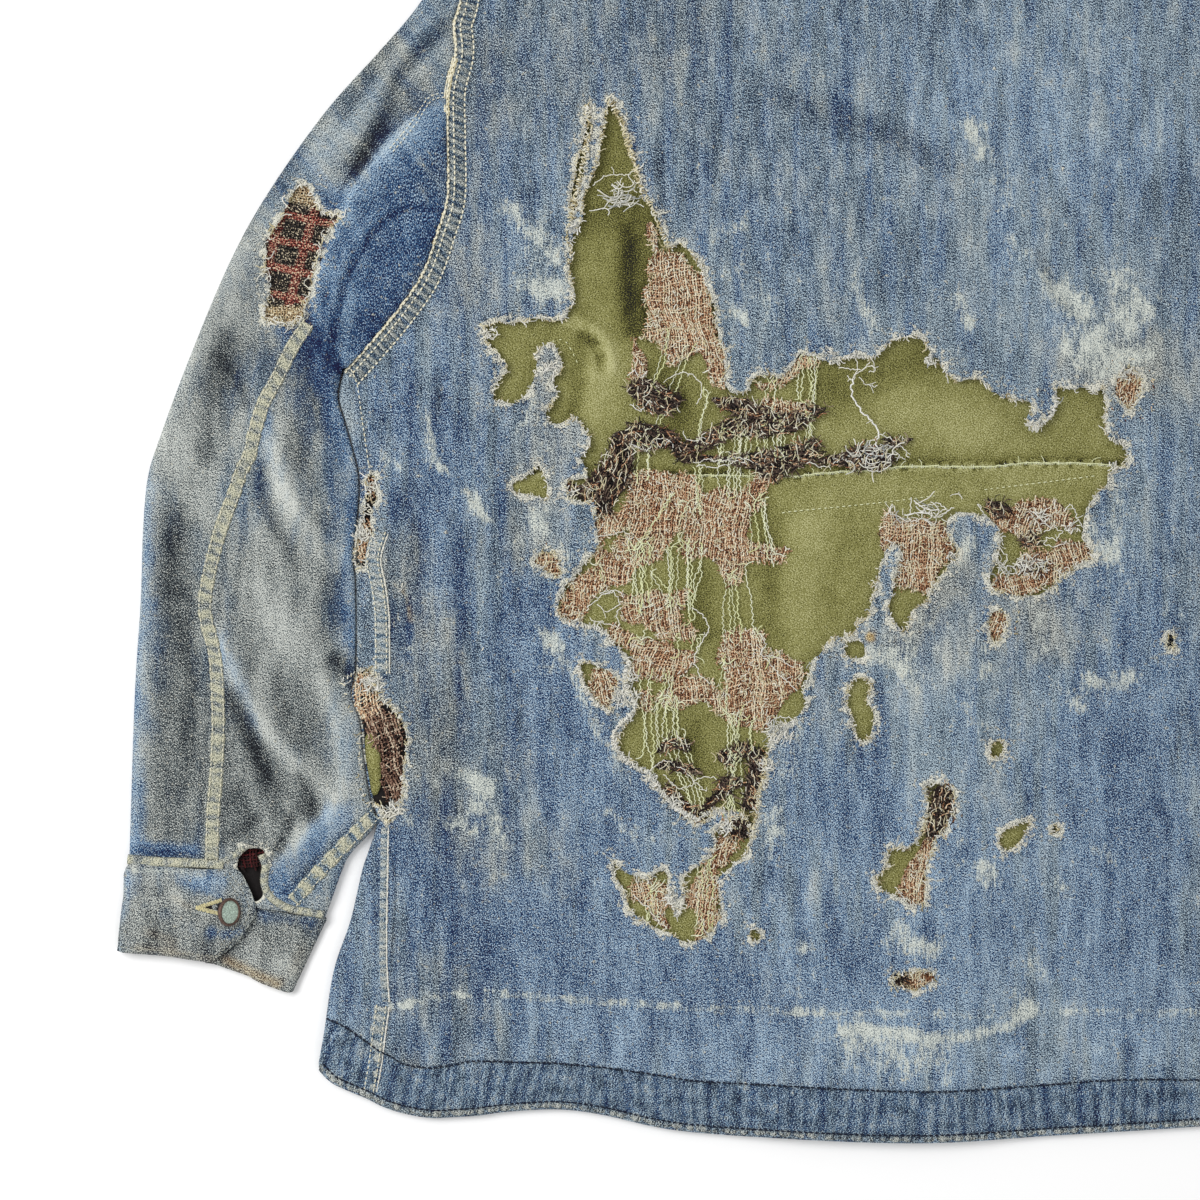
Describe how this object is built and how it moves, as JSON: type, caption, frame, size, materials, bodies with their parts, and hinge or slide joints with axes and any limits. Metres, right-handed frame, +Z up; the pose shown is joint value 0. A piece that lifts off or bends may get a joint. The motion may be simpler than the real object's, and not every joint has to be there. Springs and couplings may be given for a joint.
{
  "type": "patched denim work jacket",
  "caption": "Worn denim work jacket laid flat with its back up, holed through to an olive patch and scraps of blanket lining.",
  "frame": {"origin": "on the surface the jacket lies on, in the middle of its outline", "axes": "+Z up out of the jacket's back, +Y towards the collar, -X towards the wearer's left sleeve"},
  "size_m": [0.9168, 0.8064, 0.021],
  "materials": {
    "denim": "faded indigo twill, matt, with white worn edges",
    "sleeve_denim": "faded indigo twill stained grey-brown, matt",
    "olive_cotton": "soft plain-woven cotton, slightly shiny on its folds",
    "blanket_lining": "coarse woven blanket cloth, red-brown, cream and charcoal, frayed",
    "button": "dull pressed metal face with a dark worn rim"
  },
  "bodies": {
    "root": {"back": "denim", "front_left": "denim", "front_right": "denim", "collar": "denim", "sleeve_upper_left": "sleeve_denim", "sleeve_under_left": "sleeve_denim", "sleeve_upper_right": "sleeve_denim", "sleeve_under_right": "sleeve_denim", "cuff_left": "sleeve_denim", "cuff_right": "sleeve_denim", "patch_upper": "olive_cotton", "patch_lower": "olive_cotton", "lining_upper": "blanket_lining", "lining_centre": "blanket_lining", "lining_lower": "blanket_lining", "lining_tab": "blanket_lining", "lining_right": "blanket_lining", "lining_island": "blanket_lining", "lining_strip": "blanket_lining", "lining_spot": "blanket_lining", "lining_tear": "blanket_lining", "lining_worn": "blanket_lining", "lining_edge": "blanket_lining", "lining_sleeve": "blanket_lining", "lining_side_upper": "blanket_lining", "lining_side_lower": "blanket_lining", "lining_cuff": "blanket_lining", "cuff_button_left": "button", "cuff_button_right": "button", "front_button_1": "button", "front_button_2": "button", "front_button_3": "button", "front_button_4": "button", "front_button_5": "button"}
  },
  "joints": []
}
